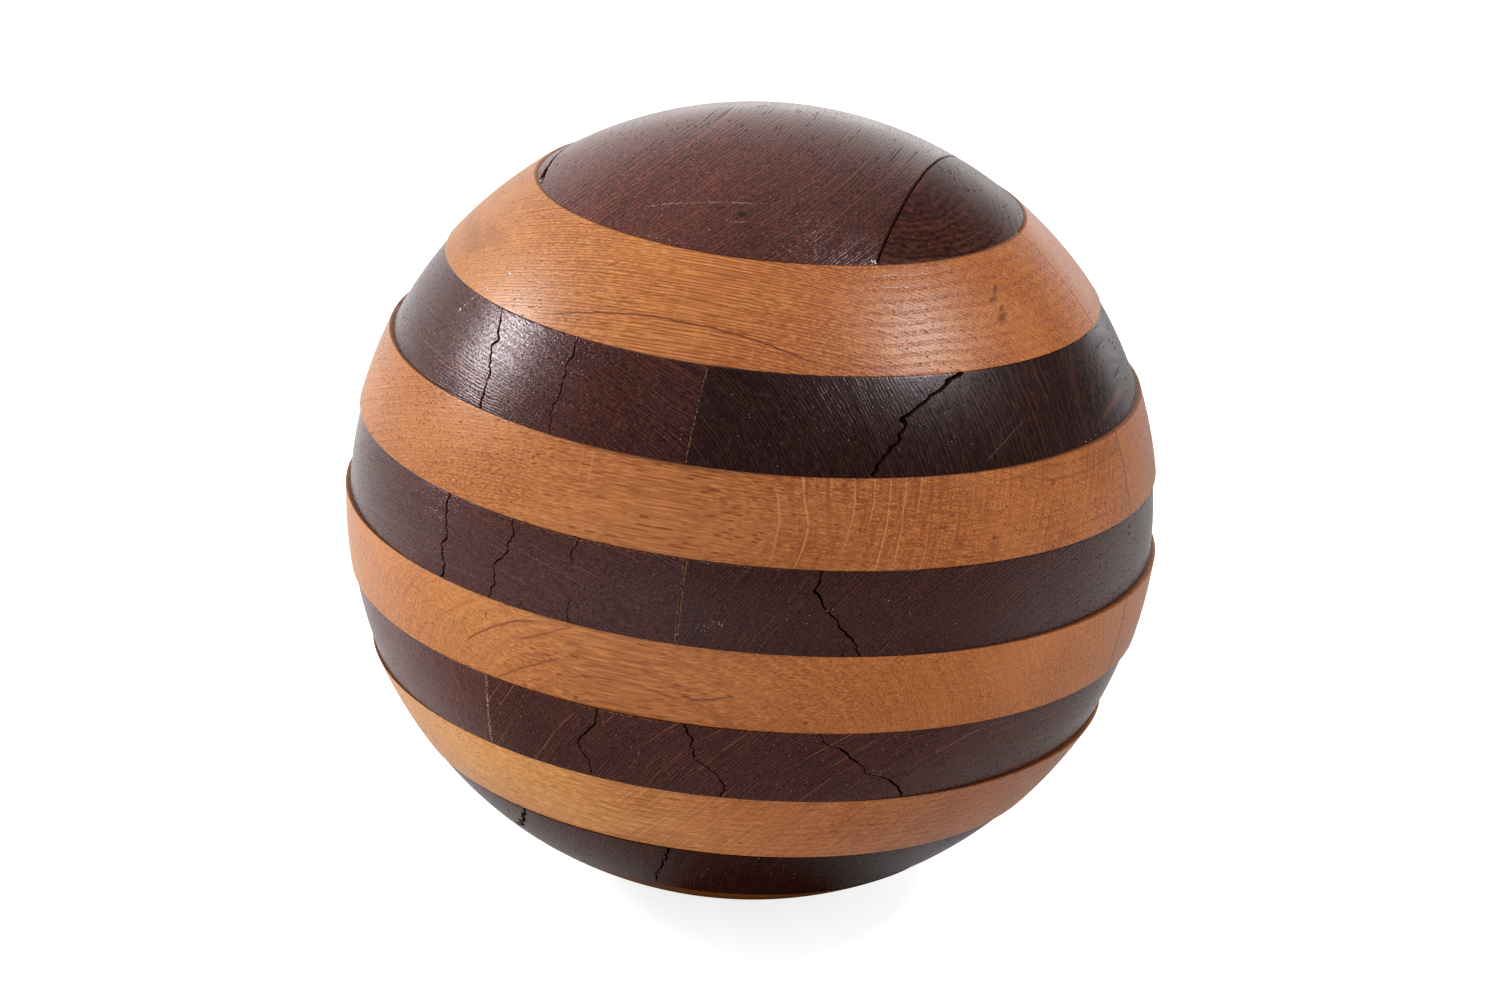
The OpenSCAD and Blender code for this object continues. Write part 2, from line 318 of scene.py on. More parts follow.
BOARDS = {
    "cap_board_left": Board(1, (-100, -60), 1.7, painted_light_left=0.5),
    "cap_board_middle": Board(1, (260, -220), 1.75, painted_light_left=0.5, marks=(
        Spot((3.6, -47.9), (1.3, 0.7), SOOT, 0.9),
        Spot((-19, -33), (0.8, 0.5), SOOT, 0.7),
        Spot((-38, -36), (0.9, 0.6), SOOT, 0.8),
    )),
    "cap_board_right": Board(
        1, (18, -60), 1.25, streaks=1, contrast=0.16, tilt=-0.1, gloss=0.11, curl=0.8, coarse=0.6
    ),
    "layer2_board_front": Board(
        2, (-118, -7), 1.02, rays=0, pores=0.3, rows=1, figure=1.2,
        painted_light_left=0.4, ray_reach=(15, 40), marks=(
        Line((-2, 66.5), (-37, 36), 0, -0.00485, 0.3, BROWN, 0.95),
        Line((-43, 62.6), (-7, 8), 0.62, -0.012, 0.26, RUST, 0.75),
        Line((14, 60.6), (-8, 9), -0.02, -0.01, 0.2, RUST, 0.7),
        Spot((60.7, 72.7), (0.35, 0.75), BROWN, 0.8, -0.35, 0.5),
        Spot((61, 71.2), (0.65, 0.45), BROWN, 0.8, 0, 0.5),
        Spot((63.2, 69.4), (0.35, 0.55), BROWN, 0.8, -0.35, 0.5),
        Spot((64, 67.8), (0.7, 0.75), BROWN, 0.85, -0.35, 0.5),
        Spot((-66, 66), (7, 2.2), BROWN, 0.25, 0.5, 0.6),
        Spot((-58, 69), (5, 1.4), BROWN, 0.22, 0.5, 0.6),
        Line((47, 64), (-1, 1), -0.6, 0, 0.3, BROWN, 0.7),
    )),
    "layer2_board_back": Board(2, (60, -40), 1, rays=0, figure=0.8, painted_light_left=0.4),
    "layer3_board_left": Board(3, (-60, -95), 1.08, painted_light_left=0.5, gloss=0.52, checks=(
        ((-46.8, 1.1, 0.7), (-45.8, 0.75, 0.9), (-46.4, 0.5, 0.8), (-45.6, 0.4, 0.7),
         (-46.2, -0.1, 0.8)),
        ((-26.3, 0.27, 0.3), (-28.2, 0.12, 0.1)),
        ((-24.2, 1.1, 0.5), (-25.8, 0.65, 0.6), (-25.5, 0.43, 0.5), (-26.4, 0.25, 0.4),
         (-26.2, -0.1, 0.3)),
    )),
    "layer3_board_right": Board(3, (-36, -10), 0.68, coarse=0.5, checks=(
        ((60.8, 1.1, 1.3), (55.2, 0.75, 1.3), (50.8, 0.6, 1.2), (51.7, 0.48, 1.1),
         (49.3, 0.25, 1.1), (46, -0.1, 1)),
    ), marks=(
        Spot((88.4, 45.4), (0.9, 3), DUN, 0.14, 0.25, 0.5),
        Spot((88.5, 45.2), (0.6, 2.4), REDDISH, 0.4, 0.25, 0.5),
        Line((71.6, 44.6), (-3.6, 3.6), 0.75, 0, 0.22, CHALK, 0.08, True),
    )),
    "layer4_board_front": Board(
        4, (-150, -160), 1.05, rays=1, pores=0.8, rows=0.6,
        painted_light_left=0.2, ray_reach=(14, 34), marks=(
        Spot((-12.5, 34.1), (1.4, 0.32), RUST, 0.6, 0.4),
        Spot((74, 22.3), (1, 1.7), RUST, 0.6, 0, 0.6),
        Spot((73.7, 24.8), (0.4, 0.5), BROWN, 0.8),
        Spot((64.7, 30.9), (0.4, 0.35), BROWN, 0.7),
        Spot((63.9, 28.2), (0.7, 0.4), BROWN, 0.5),
        Spot((45.7, 26.5), (0.3, 0.4), BROWN, 0.6),
        Spot((82.5, 33.9), (0.4, 0.6), RUST, 0.9),
        Spot((-29, 33.5), (0.4, 0.5), BROWN, 0.7),
        Line((86, 34.3), (-9, 8), 0, 0.035, 0.5, BROWN, 0.35, wobble=0.8),
        Line((86, 35.9), (-9, 8), 0, 0.035, 0.7, DUN, 0.35, wobble=0.8),
        Line((86, 37.2), (-8, 8), 0, 0.03, 0.5, BROWN, 0.3, wobble=0.8),
        Spot((91, 36), (2.4, 1.8), RUST, 0.25, 0.3, 0.8),
        Line((-29.4, 33.5), (-4.5, 3.5), 0.02, 0, 0.3, STRAW, 0.5, True),
        Line((-32.6, 34), (-4, 3), 0.02, 0, 0.3, STRAW, 0.4, True),
        Line((-16.9, 35), (-3.6, 4), 0.02, 0, 0.3, STRAW, 0.5, True),
        Line((-14.3, 35), (-4.2, 4.2), 0.02, 0, 0.3, STRAW, 0.6, True),
    )),
    "layer4_board_back": Board(4, (40, -90), 0.97, rays=0.5, painted_light_left=0.2),
    "layer5_board_left": Board(5, (-50, -150), 1.55, painted_light_left=0.15, checks=(
        ((-50.3, 1.1, 0.8), (-50.5, 0.83, 0.7), (-49.5, 0.5, 0.7), (-50.5, 0.37, 0.5),
         (-49.4, 0.2, 0.8), (-50, -0.1, 0.8)),
        ((-35.4, 0.62, 0.1), (-34.7, 0.42, 0.5)),
        ((-31.6, 1.1, 0.5), (-31, 0.79, 0.6), (-32, 0.62, 0.5), (-35, 0.4, 0.4),
         (-34.8, 0.24, 0.6), (-35.5, -0.1, 0.5)),
        ((-26.7, 0.36, 0.1), (-27.7, -0.1, 0.3)),
        ((-14, 1.1, 0.4), (-15.6, 0.77, 0.4), (-14.7, 0.6, 0.1)),
        ((-14, 0.36, 0.1), (-14.8, 0.14, 0.4), (-15, -0.1, 0.3)),
    )),
    "layer5_board_right": Board(5, (140, -66), 1.3, checks=(
        ((48.6, 0.23, 0.2), (45.4, -0.1, 0.4)),
        ((41, 1.1, 0.5), (40.3, 0.77, 0.7), (43.2, 0.55, 0.5), (48.3, 0.22, 0.6),
         (52.8, -0.1, 0.3)),
    )),
    "layer6_board_front": Board(6, (-176, -61), 1.16, rays=0, figure=0.22, painted_light_left=0.25, marks=(
        Line((-33, -6.6), (-10, 11), 0.62, -0.022, 0.6, RUST, 0.85),
        Line((-46, -7), (-5, 7), 0.85, -0.02, 0.5, RUST, 0.4),
        Line((-58.5, -5.6), (-3.5, 3.5), 1.4, 0, 0.4, RUST, 0.35),
        Line((-21, -5.2), (-7, 8), 0.5, 0, 0.4, RUST, 0.75),
        Line((-24.5, -14.6), (-9, 9), 0.6, -0.006, 0.45, RUST, 0.8),
        Line((20, -13.2), (-5.5, 5.5), 0.2, 0.008, 0.4, BROWN, 0.7),
        Line((-2, -12.2), (-13, 15), 0, -0.0135, 0.4, RUST, 0.5),
        Line((21, -17), (-5, 5), -0.62, 0, 0.35, RUST, 0.45),
        Spot((-11.9, -19), (0.7, 0.3), BROWN, 0.9),
        Spot((-36.1, -7.4), (0.18, 0.5), PALE, 0.7),
        Spot((-36.3, -5), (0.2, 1), BROWN, 0.7),
    )),
    "layer6_board_back": Board(6, (30, -150), 1.08, rays=0, painted_light_left=0.25),
    "layer7_board_left": Board(7, (-130, -60), 1.7, painted_light_left=0.4),
    "layer7_board_right": Board(7, (112, -120), 1.95, streaks=0.85, gloss=0.34, checks=(
        ((-6.6, 1.1, 0.4), (-7.4, 0.79, 0.5), (-11.2, 0.49, 0.5), (-10.6, 0.37, 0.7),
         (-8.8, 0.24, 0.4), (-9.3, -0.1, 0.6)),
        ((13.4, 1.1, 0.5), (16.2, 0.8, 0.6), (16.1, 0.55, 0.5), (21.5, 0.35, 0.5),
         (23.5, 0.2, 0.6), (22.1, -0.1, 0.4)),
        ((23.1, 0.13, 0.4), (26.5, -0.1, 0.2)),
        ((42.6, 1.1, 0.4), (45.1, 0.84, 0.4), (47.8, 0.8, 0.7), (53.4, 0.44, 0.4),
         (57.9, 0.3, 0.7), (60.7, -0.1, 0.7)),
        ((49, 0.95, 0.3), (48.1, 0.78, 0.4)),
    )),
    "layer8_board_front": Board(
        8, (-38, -170), 1.26, rays=0.9, rows=1, painted_light_left=1.5, ray_lean=0.9, ray_reach=(-18, 8)
    ),
    "layer8_board_back": Board(8, (-60, -170), 1.1, painted_light_left=1.2),
    "layer9_board_left": Board(9, (100, -110), 0.72, gloss=0.44, painted_light_left=1.6, checks=(
        ((-28.6, 1.1, 0.8), (-31.4, 0.74, 1.3), (-34.4, 0.5, 1.6), (-38, 0.25, 1.2),
         (-40, -0.1, 0.8)),
        ((8.9, 1.1, 0.7), (6.4, 0.75, 0.6), (2.2, 0.3, 0.7), (0.6, 0.02, 0.2)),
    )),
    "layer9_board_right": Board(9, (40, -150), 0.8, gloss=0.2),
    # The base is light wood; its low shade is painted shade, for the shadow it lies in under the
    # ball
    "base_board": Board(10, (20, 90), 0.42, gloss=0.1),
}


# ---------------- the two woods

# Distances between the dark wood's fine lines, growth rings, pores and specks of dust
DARK_LINE, DARK_RING, DARK_PORE, DUST = 0.68, 2.4, 0.85, 1.9
# Distances between the light wood's fine lines, growth rings, pores, rows and rays
LIGHT_LINE, LIGHT_RING, LIGHT_PORE, ROW, RAY = 0.8, 2.1, 0.8, 2.0, 2.2


class Grain:
    """Distances in a board's tree, which wander as its rings do. rings holds those out
    from its pith, round it and along it, and cross those on two axes across it and along
    it."""

    def __init__(self, shader, board, seed):
        self.shader, self.board, self.seed = shader, board, seed
        across, self.along = (shader.x, shader.y) if board.dark else (shader.y, shader.x)
        up = shader.z + self.along * board.tilt if board.tilt else shader.z
        self.from_centre = across, up
        self.from_pith = across, up = across - board.pith[0], up - board.pith[1]
        sway = 9.0 if board.dark else 10.0
        first = across + self.stray(55, sway, 0) + self.stray(7, 0.9, 11)
        second = up + self.stray(55, sway, 31) + self.stray(7, 0.9, 47)
        if board.curl:
            second = second + self.stray(3.2, board.curl, 3)
        round_it = second.angle(first) * math.hypot(*board.pith)
        self.rings = hypotenuse(first, second), round_it, self.along
        self.cross = first, second, self.along

    def stray(self, size, reach, shift):
        """A wander of this reach, with turns about this far apart."""
        across, up = self.from_centre
        place = across / size + self.seed + shift, up / size, self.along / (size * 2.5)
        return (self.shader.noise(*place) - 0.5) * reach

    def rays(self):
        """The distance that the rays are counted on: round the pith, or along the board
        where they are sawn through slantwise."""
        board, stray = self.board, self.stray(9, 0.8, 5)
        if board.ray_lean is None:
            across, up = self.from_pith
            return up.angle(across + stray) * math.hypot(*board.pith)
        return self.along - self.from_centre[1] * board.ray_lean + stray

    def noise(self, axes, sizes, seeded=0, detail=1.0):
        """Noise along three axes, with features of these sizes. The seed shifts it along
        the axis whose number is seeded."""
        place = [axis / size for axis, size in zip(axes, sizes)]
        place[seeded] = place[seeded] + self.seed
        return self.shader.noise(*place, detail)

    def wave(self, gap, drift_sizes, drift):
        """A wave along the rings for lines this gap apart, which drifts."""
        drifting = self.noise(self.rings, drift_sizes) * drift
        return (self.rings[0] * (2 * math.pi / gap) + drifting).math("SINE")


def add_marks(shader, node, board, colour):
    """Lays the board's own marks over its colour, and the grime that gathers along its glue joint.
    On a light board it also lays painted shade on its top face, where it steps out from the layer
    above, darkest in the corner against that layer."""
    on_top = board.layer == 1
    u, v = (shader.x, shader.y) if on_top else (shader.x, shader.z)
    front = shader.y.rise(1.0, -1.0)
    for mark in board.marks:
        cover = mark.mask(shader, u, v) if on_top else mark.mask(shader, u, v) * front
        colour = shader.mix(cover, colour, shade_of(mark.colour))
    dirt_and_shade = shade_of(SOOT if board.dark else GRIME_AND_SHADE)
    if 1 < board.layer < 10:
        axis, joint, _ = joint_of(node, board)
        off = ((shader.x, shader.y)[axis] - joint).magnitude()
        colour = shader.mix(off.rise(0.22, 0.08) * 0.85, colour, dirt_and_shade)
    # Painted shade on the top face where a light board steps out, darkest in the corner against
    # the layer above
    if not board.dark:
        ledge, corner = on_ledge(shader, node, board)
        colour = shader.mix(ledge * 0.5 + corner * 0.35, colour, dirt_and_shade)
    return colour


def paint_left_light(shader, board, colour):
    """A board's colour with its left end brightened: painted light, as if lit more from the left.
    """
    if not board.painted_light_left:
        return colour
    # Painted light: the left end made lighter, as if lit more from the left
    lit_left = shader.x.rise(38, -48) * board.painted_light_left
    gain = (2.4, 2.1, 2.05) if board.dark else (1.38, 1.95, 2.4)
    scaled = add_node(shader.tree, "VectorMath", (colour, gain), operation="MULTIPLY")
    return shader.mix(lit_left, colour, Value(scaled.outputs["Vector"]))


def on_ledge(shader, node, board):
    """Whether a point is on a board's top face, and whether it is there in the corner against the
    layer above, which is darkened as painted shade."""
    top = box_mm(node)[1][2]
    half_w, half_d = layer_radii(board.layer - 1)
    spread = math.sqrt(1 - (top / POLE_Z) ** 2)
    out = hypotenuse(shader.x / (half_w * spread), shader.y / (half_d * spread))
    ledge = shader.z.rise(top - 0.14, top - 0.05)
    return ledge, ledge * out.rise(1.009, 1.004)


def polish(shader, node, board, pore):
    """How strongly a board reflects. Its pores don't, nor do the ledges where it steps out. The
    boards of the two lowest layers reflect less, and hardly at all in a patch at the foot of the
    ball: painted shade in their reflection, for the shadowed floor they mirror there."""
    gloss = (pore * -0.9 + 1) * board.gloss
    if not board.dark:
        gloss = gloss * (on_ledge(shader, node, board)[0] * -0.9 + 1)
    if board.layer < 9:
        return gloss
    # Painted shade: less reflection at the foot of the ball, for the shadowed floor it mirrors
    across, back = (shader.x - 22) / 42, (shader.y + 45) / 55
    return gloss * (across * across + back * back).rise(0.15, 1.2) * 0.7


def dark_rings(grain, board, broken):
    """The streaks along the dark wood's growth rings, and its late and early wood."""
    swing = grain.noise(grain.rings, (6, 60, 90)) - 0.5
    ring = ((grain.rings[0] + swing * 3.5) / DARK_RING).fraction()
    streak = (ring - 0.5).magnitude().rise(0.05, 0.018)
    streak = streak * grain.noise(grain.rings, (2.5, 28, 60)).rise(0.5, 0.68)
    streak = streak * broken.rise(0.32, 0.54) * board.streaks
    late = ring.rise(0.5, 1.0) * board.contrast
    early = ring.rise(0.42, 0.12) * broken.rise(0.3, 0.55) * board.contrast
    return streak, late, early


def dark_pores(grain):
    """The dark wood's pores, dots in end grain and dashes along it, and specks of dust."""
    shader, seed = grain.shader, grain.seed
    first, second, along = grain.cross
    far, chance = shader.dots(first / DARK_PORE + seed, second / DARK_PORE)
    ends = grain.noise(grain.cross, (2.2, 2.2, 9), 1)
    pore = far.rise(0.17, 0.1) * chance.rise(0.45, 0.49) * ends.rise(0.46, 0.52)
    far, chance = shader.dots(first / DUST + seed, second / DUST, along / 2.4)
    return pore, far.rise(0.12, 0.05) * chance.rise(0.62, 0.66)


def dark_wood(name, board, seed):
    """A coarse, nearly black brown wood: fine reddish lines along its rings, a stronger
    one now and then, and open pores."""
    shader = Shader(name)
    grain = Grain(shader, board, seed)
    rings = grain.rings
    black, ground, line_colour, streak_colour, dust_colour = board.colours(
        (0.0075, 0.0026, 0.002), (0.031, 0.0088, 0.0064), (0.08, 0.022, 0.013),
        (0.17, 0.048, 0.026), (0.2, 0.09, 0.05),
    )
    cloud = grain.noise(grain.cross, (16, 16, 45))
    broken = grain.noise(rings, (0.8, 7, 28), 1, 2)
    wave = grain.wave(DARK_LINE, (2.6, 18, 40), 14)
    lines = wave.rise(0.0, 0.95) * broken.rise(0.3, 0.58)
    seams = wave.rise(-0.45, -0.98) * broken.rise(0.66, 0.4)
    band = grain.noise(rings, (1.9, 34, 70))
    streak, late, early = dark_rings(grain, board, broken)
    pore, dust = dark_pores(grain)
    grit = grain.noise(rings, (0.42, 0.7, 1.4), 2, 2)
    pits = grain.noise(rings, (0.75, 0.62, 1.2), 2).rise(0.48, 0.6) * wave.rise(0.0, -0.8)

    colour = shader.coats(
        ground,
        (lines * 0.4 + late, line_colour),
        (seams * 0.46 + pits * 0.34, black),
        (band.rise(0.56, 0.36) * 0.12, black),
        (cloud.rise(0.6, 0.3) * 0.16, black),
        (grit.rise(0.5, 0.72) * 0.55, line_colour),
        (grit.rise(0.5, 0.28) * 0.6, black),
        (early, black),
        (streak, streak_colour),
        (pore * 0.6, black),
        (dust * 0.5, dust_colour),
    )
    colour = add_marks(shader, name, board, paint_left_light(shader, board, colour))
    relief = pits * -0.036 + lines * 0.02 + grit * 0.062
    height = pore * -0.06 + relief * board.coarse + cloud * 0.12
    roughness = grit * 0.12 + lines * 0.05 + pore * 0.3 + cloud * 0.12
    roughness = roughness + 0.13 + (1 - board.coarse) * 0.1
    gloss = polish(shader, name, board, pore)
    return shader.finish(colour, roughness, height, gloss, (1.0, 0.86, 0.93))


def light_pores(grain, board, ring):
    """The light wood's short pores, more of them in early wood and in patches."""
    first, second, _ = grain.cross
    far, chance = grain.shader.dots(first / LIGHT_PORE + grain.seed, second / LIGHT_PORE)
    ends = grain.noise(grain.cross, (1.6, 1.6, 3.6), 1)
    patch = grain.noise(grain.cross, (9, 9, 18))
    early = ring.rise(0.26, 0.02) + ring.rise(0.92, 1.0)
    often = ends * 0.75 + patch * board.pores * 0.5 + (early - 0.4) * board.rows * 0.4
    return far.rise(0.32, 0.18) * chance.rise(0.22, 0.28) * often.rise(0.54, 0.6)


def light_rays(grain, board):
    """What shows where light wood is sawn along its rays: level rows of dark beads, pale
    rays, and a fine weave of both."""
    shader, seed, out = grain.shader, grain.seed, grain.rings[0]
    reach = shader.x.rise(*board.ray_reach)
    level = shader.z + (shader.noise(shader.x / 18, seed) - 0.5) * 4
    row = ((level / ROW).fraction() - 0.5).magnitude().rise(0.26, 0.12)
    beads = shader.noise(shader.x / 0.75, shader.y / 0.75, level / 0.6).rise(0.42, 0.54)
    beads = beads * row * reach * board.rows

    rays = grain.rays()
    turn = rays / RAY + shader.noise(rays / 9, out / 25, seed) * 0.8
    number = turn.math("FLOOR")
    ray = (turn.fraction() - 0.5).magnitude().rise(0.065, 0.025)
    shown = shader.noise(number * 0.73 + seed, out / 22, grain.along / 22, 0)
    ray = ray * shown.rise(0.38, 0.56) * shader.y.magnitude().rise(97, 89) * board.rays
    ray = ray * reach * (shader.x.rise(50, 80) * -0.5 + 1)
    weave = shader.noise(rays / 0.6, out / 9, seed).rise(0.5, 0.64)
    rank = shader.noise(level / 0.75, shader.x / 5 + seed).rise(0.5, 0.64)
    return beads, ray, weave.most(rank) * reach * board.rays


def light_wood(name, board, seed):
    """A fine, warm brown wood: rings of fine lines, fibres, short brown pores and pale
    rays."""
    shader = Shader(name)
    grain = Grain(shader, board, seed)
    rings, cross = grain.rings, grain.cross
    ground, pale, deep, ray_colour, pore_colour = board.colours(
        (0.405, 0.116, 0.02), (0.56, 0.2, 0.05), (0.23, 0.052, 0.0095),
        (0.62, 0.27, 0.095), (0.14, 0.036, 0.009),
    )
    cloud = grain.noise(cross, (20, 20, 40))
    fibre = grain.noise(cross, (0.36, 0.36, 9), 1, 2)
    speckle = grain.noise(cross, (0.24, 0.24, 1.1), 2)
    coarse = grain.noise(cross, (1.3, 1.3, 26))
    ripple = grain.noise(cross, (5, 5, 1.7))
    broken = grain.noise(rings, (0.9, 6, 16), 1)
    wave = grain.wave(LIGHT_LINE, (2.4, 22, 50), 10)
    lines = wave.rise(0.15, 0.92) * broken.rise(0.28, 0.52)
    thread = (grain.noise(rings, (0.8, 6, 7)) - 0.5).magnitude()
    thread = thread.rise(0.06, 0.015) * broken.rise(0.66, 0.44)
    swing = shader.noise(rings[0] / 5 + seed, 0.5, grain.along / 120) - 0.5
    ring = ((rings[0] + swing * 4) / LIGHT_RING).fraction()
    late = ring.rise(0.3, 0.94) * ring.rise(1.0, 0.95)
    pore = light_pores(grain, board, ring)
    beads, ray, weave = light_rays(grain, board)

    colour = shader.coats(
        shader.mix(fibre.rise(0.28, 0.7), deep, pale),
        (0.26, ground),
        (speckle.rise(0.52, 0.8) * 0.3, deep),
        (speckle.rise(0.46, 0.24) * 0.2, pale),
        (lines * (board.figure * 0.9), deep),
        (thread * 0.3, deep),
        (beads * 0.62, deep),
        (weave * 0.64, deep),
        (late * 0.2, deep),
        (coarse.rise(0.5, 0.72) * 0.12, deep),
        (cloud.rise(0.42, 0.68) * 0.22, pale),
        (ripple.rise(0.54, 0.72) * (board.figure * 0.15), pale),
        (ray * 0.45, ray_colour),
        (pore * 0.65, pore_colour),
    )
    colour = add_marks(shader, name, board, paint_left_light(shader, board, colour))
    height = (pore + beads) * -0.05 + fibre * 0.045 + lines * -0.012 + cloud * 0.1
    roughness = fibre * 0.1 + pore * 0.2 + cloud * 0.1 + 0.25
    return shader.finish(colour, roughness, height, polish(shader, name, board, pore))


# ---------------- the boards' meshes


def layer_radii(layer):
    """The half width and half depth that a layer's form would have at the equator."""
    if layer % 2:
        return BALL_R * (1 - DARK_LOSS), BALL_R
    return BALL_R, BALL_R * (1 - LIGHT_LOSS)


def run(length, step, ease_start, ease_end):
    """Places along a length, as shares of it, close together at its eased ends, and how
    far the surface falls back at each."""
    def near(ease):
        return np.array([0, 0.3, 0.65] if ease else []) * ease

    def fall(distance, ease):
        return ease - np.sqrt(ease**2 - np.clip(ease - distance, 0, ease) ** 2)

    inner_end = length - ease_end
    count = max(1, round((inner_end - ease_start) / step))
    inner = np.linspace(ease_start, inner_end, count + 1)
    places = np.concatenate([near(ease_start), inner, length - near(ease_end)[::-1]])
    return places / length, fall(places, ease_start) + fall(length - places, ease_end)


def ragged(z, rng, spacing, reach):
    """A jagged wander along z."""
    knots = np.arange(z.min() - 2, z.max() + 2, spacing)
    knots = knots + rng.uniform(-0.3, 0.3, len(knots)) * spacing
    return np.interp(z, np.sort(knots), rng.uniform(-reach, reach, len(knots)))


def grid(columns, rows):
    """The numbers of a grid's points, which run up its columns, and the grid's faces."""
    at = np.arange(columns * rows).reshape(columns, rows)
    corners = at[:-1, :-1], at[1:, :-1], at[1:, 1:], at[:-1, 1:]
    return at, np.stack(corners, -1).reshape(-1, 4).tolist()


def check_edges(board, z, floor, thickness, rng):
    """For each row of a board, the left and right edge of each of its checks."""
    centres, widths = [], []
    for line in board.checks:
        places, heights, spread = np.array(line[::-1]).T
        for end in (0, -1):
            if 0 < heights[end] < 1:
                spread[end] = 0
        heights = floor + heights * thickness
        centre = np.interp(z, heights, places)
        for spacing, reach in ZIGZAGS:
            centre = centre + ragged(z, rng, spacing, reach)
        wide = np.interp(z, heights, spread, left=0, right=0) * CHECK_W
        wide = wide * (0.92 + ragged(z, rng, 0.9, 0.35))
        wide = wide * np.minimum(np.hypot(1, np.gradient(centre, z)), 2.0)
        centres.append(centre)
        widths.append(np.where(wide > LEAST_CHECK, wide, 0))
    lefts = np.array(centres) - np.array(widths) / 2
    rights = np.array(centres) + np.array(widths) / 2
    for i in range(len(lefts) - 2, -1, -1):
        shut = widths[i] == 0
        limit = lefts[i + 1] - CHECK_CLEAR
        lefts[i] = np.where(shut, np.minimum(lefts[i], limit), lefts[i])
        rights[i] = np.where(shut, lefts[i], rights[i])
    for i in range(1, len(lefts)):
        push = np.maximum(rights[i - 1] + CHECK_CLEAR - lefts[i], 0)
        lefts[i] += push
        rights[i] += push
    return lefts, rights


def joint_of(node, board):
    """The axis a board is cut across, the place of its joint on it, and whether the board
    lies on the lesser side of that."""
    low, high = box_mm(node)
    axis = 0 if board.dark else 1
    lesser = node.endswith(("left", "front"))
    return axis, (high if lesser else low)[axis], lesser


def skin_span(wide, deep, axis, joint, lesser):
    """The angles at which a board's skin starts and ends on each row."""
    if axis == 0:
        turn = np.arccos(np.clip(joint / wide, -1, 1))
        return (turn, 2 * np.pi - turn) if lesser else (-turn, turn)
    turn = np.arcsin(joint / deep)
    return (np.pi - turn, 2 * np.pi + turn) if lesser else (turn, np.pi - turn)


def skin_columns(node, board, z, wide, deep, rng):
    """The angle of each column of the skin on each row, and how far it is let in."""
    axis, joint, lesser = joint_of(node, board)
    start, end = skin_span(wide, deep, axis, joint, lesser)
    low, high = box_mm(node)
    edges = []
    if board.checks:
        full_turn = 2 * np.pi if lesser else 0
        for sides in zip(*check_edges(board, z, low[2], high[2] - low[2], rng)):
            edges.append([full_turn - np.arccos(side / wide) for side in sides])
    angles, insets = [], []
    previous, ease = start, JOINT_EASE
    for left, right in [*edges, (end, end)]:
        last = left is end
        length = float((left - previous).mean()) * wide.mean()
        shares, falls = run(length, STEP, ease, JOINT_EASE if last else 0)
        angles += [previous + (left - previous) * s for s in shares]
        insets += [np.full_like(z, f) for f in falls]
        if not last:
            gap = (right - left) * wide
            angles += [left + (right - left) * share for share in CHECK_FLOOR]
            insets += [CHECK_DEPTH * np.clip(gap / DEEP_FROM, 0, 1)] * 2
            previous, ease = right, 0
    return np.array(angles), np.array(insets)


def layer_mesh(node, board):
    """A board of layers 2 to 9: its skin, with checks let into it, and the flat faces
    where it is glued to its neighbours."""
    rng = np.random.default_rng(len(node) * 100 + board.layer)
    low, high = box_mm(node)
    shares, falls = run(high[2] - low[2], ROW_STEP, EDGE_EASE, EDGE_EASE)
    z = low[2] + shares * (high[2] - low[2])
    wide, deep = (half * np.sqrt(1 - (z / POLE_Z) ** 2) for half in layer_radii(board.layer))
    angles, insets = skin_columns(node, board, z, wide, deep, rng)
    proud = 0.0 if board.dark else LIP * np.exp(-(high[2] - z) / LIP_FADE)
    insets = insets + falls - proud * np.cos(angles) ** 2
    x, y = wide * np.cos(angles), deep * np.sin(angles)
    out = np.stack([np.cos(angles) / wide, np.sin(angles) / deep])
    out /= np.linalg.norm(out, axis=0)
    x, y = x - out[0] * insets, y - out[1] * insets
    axis, joint, lesser = joint_of(node, board)
    cut = np.abs(joint) < (wide, deep)[axis] - FINEST
    for end in (0, -1):
        (x, y)[axis][end][cut] = joint
    points = np.stack(np.broadcast_arrays(x, y, z), -1).reshape(-1, 3)
    at, faces = grid(*x.shape)
    faces.append(at[:, -1])
    # A board that tapers away above its layer's foot has no lower face
    if cut[0] or lesser:
        faces.append(at[::-1, 0])
    # The joint's face starts one row below the first that is cut, where it is a point
    joined = np.flatnonzero(np.append(cut[1:], cut[-1]))
    faces.append([*at[0, joined], *at[-1, joined[::-1]]])
    return points, faces


# The cap's open joints: where each lies between its two boards, and its width
left_end, right_start = box_mm("cap_board_left")[1][0], box_mm("cap_board_right")[0][0]
middle_low, middle_high = box_mm("cap_board_middle")
CAP_LEFT, CAP_RIGHT = (left_end + middle_low[0]) / 2, (right_start + middle_high[0]) / 2
CAP_GAP = middle_low[0] - left_end
WANDER_Y = np.linspace(-60, 60, 400)
WANDER = ragged(WANDER_Y, np.random.default_rng(5), 1.7, 0.09)


def left_joint(y, side):
    """The left (-1) or right (1) side of the cap's left joint, which bends and gapes at
    its front end."""
    bend = np.clip((-8 - y) / 19, 0, 1) ** 1.5 * 2.3
    middle = CAP_LEFT + bend + np.interp(y, WANDER_Y, WANDER)
    return middle + side * CAP_GAP / 2 + side * (np.clip((-16 - y) / 8, 0, 1) * 0.35)


def right_joint(y, side):
    """The left (-1) or right (1) side of the cap's right joint."""
    return CAP_RIGHT + np.interp(-y, WANDER_Y, WANDER) + side * CAP_GAP / 2


